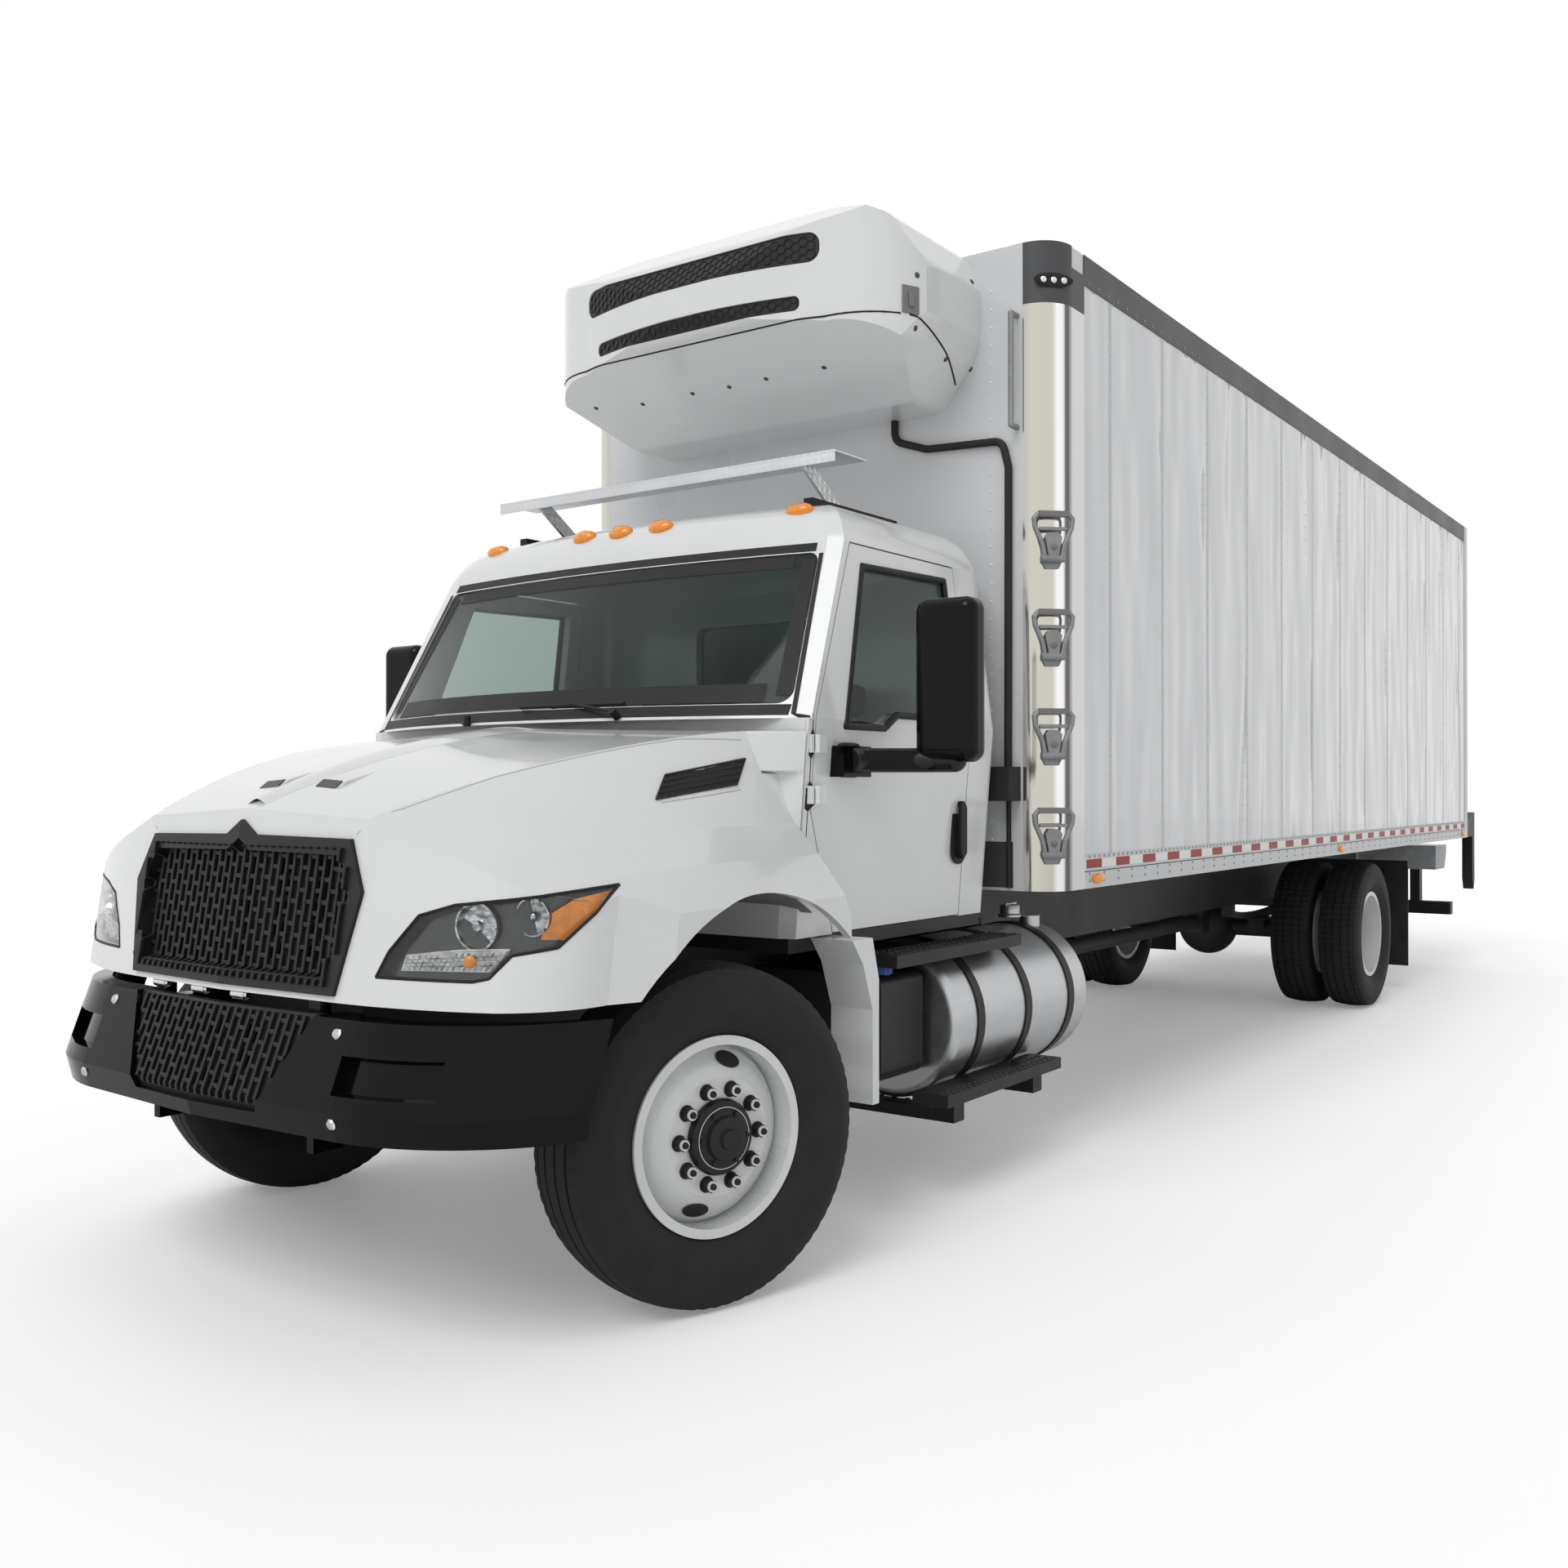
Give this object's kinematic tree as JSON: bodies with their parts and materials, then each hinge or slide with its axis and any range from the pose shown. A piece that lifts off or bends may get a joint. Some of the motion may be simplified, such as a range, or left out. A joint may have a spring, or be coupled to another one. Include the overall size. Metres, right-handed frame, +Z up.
{
  "type": "refrigerated box truck",
  "caption": "Conventional-cab medium truck with a tilting hood, hinged doors, steered front wheels and an insulated box carrying a nose-mounted cooling unit.",
  "frame": {"origin": "on the ground under the middle of the overall length, on the centre plane", "axes": "+X towards the front bumper, +Y to the truck's left, +Z up"},
  "size_m": [11.553, 3.04, 3.9584],
  "materials": {
    "white_paint": "gloss",
    "black_paint": "satin",
    "gloss_black": "gloss",
    "dark_plastic": "satin",
    "grey_rail": "satin",
    "bright_metal": "polished",
    "tank_metal": "brushed",
    "plate_metal": "tread plate",
    "gate_metal": "galvanised",
    "cast_metal": "rough",
    "wheel_paint": "gloss",
    "tyre": "matt",
    "flap_rubber": "matt",
    "glass": "clear",
    "lamp_lens": "clear",
    "amber_lens": "translucent",
    "panel_white": "gloss",
    "trim_grey": "matt",
    "seat_fabric": "woven"
  },
  "bodies": {
    "chassis": {"frame_ladder": "black_paint", "front_axle": "cast_metal", "power_unit": "cast_metal", "rear_axle": "cast_metal", "cab_glass": "glass", "cab_front": "white_paint", "cab_back_wall": "white_paint", "cab_roof": "white_paint", "cab_floor": "black_paint", "splash_panels": "white_paint", "front_bumper": "gloss_black", "bumper_grille": "dark_plastic", "box_floor": "grey_rail", "box_side_walls": "panel_white", "box_front_wall": "panel_white", "box_roof": "panel_white", "corner_posts": "bright_metal", "box_bottom_rails": "grey_rail", "box_top_rails": "grey_rail", "box_rear_frame": "grey_rail", "rear_door": "panel_white", "reefer_case": "white_paint", "reefer_grilles": "dark_plastic", "fuel_tank": "tank_metal", "tank_saddles": "black_paint", "side_boxes": "dark_plastic", "cab_steps": "black_paint", "roof_guard": "plate_metal", "roof_rails": "dark_plastic", "marker_lamps": "amber_lens", "wall_cables": "flap_rubber", "climbing_steps": "trim_grey", "mud_flaps": "flap_rubber", "lift_gate": "gate_metal", "rear_bumper": "black_paint", "dashboard": "trim_grey", "seats": "seat_fabric"},
    "knuckle_left": {"knuckle_left": "cast_metal"},
    "knuckle_right": {"knuckle_right": "cast_metal"},
    "wheel_front_left": {"wheel_front_left": "wheel_paint", "tyre_front_left": "tyre"},
    "wheel_front_right": {"wheel_front_right": "wheel_paint", "tyre_front_right": "tyre"},
    "tie_rod": {"tie_rod": "cast_metal"},
    "wheels_rear_left": {"wheels_rear_left": "wheel_paint", "tyres_rear_left": "tyre"},
    "wheels_rear_right": {"wheels_rear_right": "wheel_paint", "tyres_rear_right": "tyre"},
    "door_left": {"door_left": "white_paint", "door_glass_left": "glass", "mirror_left": "gloss_black"},
    "door_right": {"door_right": "white_paint", "door_glass_right": "glass", "mirror_right": "gloss_black"},
    "hood": {"hood_shell": "white_paint", "hood_grille": "dark_plastic", "headlamps": "lamp_lens"}
  },
  "joints": [
    {"name": "steer_left", "type": "hinge", "parent": "chassis", "child": "knuckle_left", "pos_m": [4.686, 0.885, 0.515], "axis": [0, 0, 1], "range_deg": [-22, 54]},
    {"name": "steer_right", "type": "hinge", "parent": "chassis", "child": "knuckle_right", "pos_m": [4.686, -0.885, 0.515], "axis": [0, 0, 1], "range_deg": [-22, 54]},
    {"name": "tie_rod_pin", "type": "hinge", "parent": "knuckle_left", "child": "tie_rod", "pos_m": [4.51297, 0.93461, 0.515], "axis": [0, 0, 1], "range_deg": [-54, 22]},
    {"name": "spin_front_left", "type": "hinge", "parent": "knuckle_left", "child": "wheel_front_left", "pos_m": [4.686, 0.885, 0.515], "axis": [0.2756, 0.9613, 0], "continuous": true},
    {"name": "spin_front_right", "type": "hinge", "parent": "knuckle_right", "child": "wheel_front_right", "pos_m": [4.686, -0.885, 0.515], "axis": [0.2756, 0.9613, 0], "continuous": true},
    {"name": "spin_rear_left", "type": "hinge", "parent": "chassis", "child": "wheels_rear_left", "pos_m": [-2.664, 0, 0.515], "axis": [0, 1, 0], "continuous": true},
    {"name": "spin_rear_right", "type": "hinge", "parent": "chassis", "child": "wheels_rear_right", "pos_m": [-2.664, 0, 0.515], "axis": [0, 1, 0], "continuous": true},
    {"name": "hood_tilt", "type": "hinge", "parent": "chassis", "child": "hood", "pos_m": [5.686, 0, 0.945], "axis": [0, 1, 0], "range_deg": [0, 70]},
    {"name": "door_left_hinge", "type": "hinge", "parent": "chassis", "child": "door_left", "pos_m": [4.189, 1.112, 1.6], "axis": [0, 0, -1], "range_deg": [0, 70]},
    {"name": "door_right_hinge", "type": "hinge", "parent": "chassis", "child": "door_right", "pos_m": [4.189, -1.112, 1.6], "axis": [0, 0, 1], "range_deg": [0, 70]}
  ],
  "couplings": [
    {"joint": "steer_right", "follows": "steer_left", "ratio": 1},
    {"joint": "tie_rod_pin", "follows": "steer_left", "ratio": -1}
  ]
}
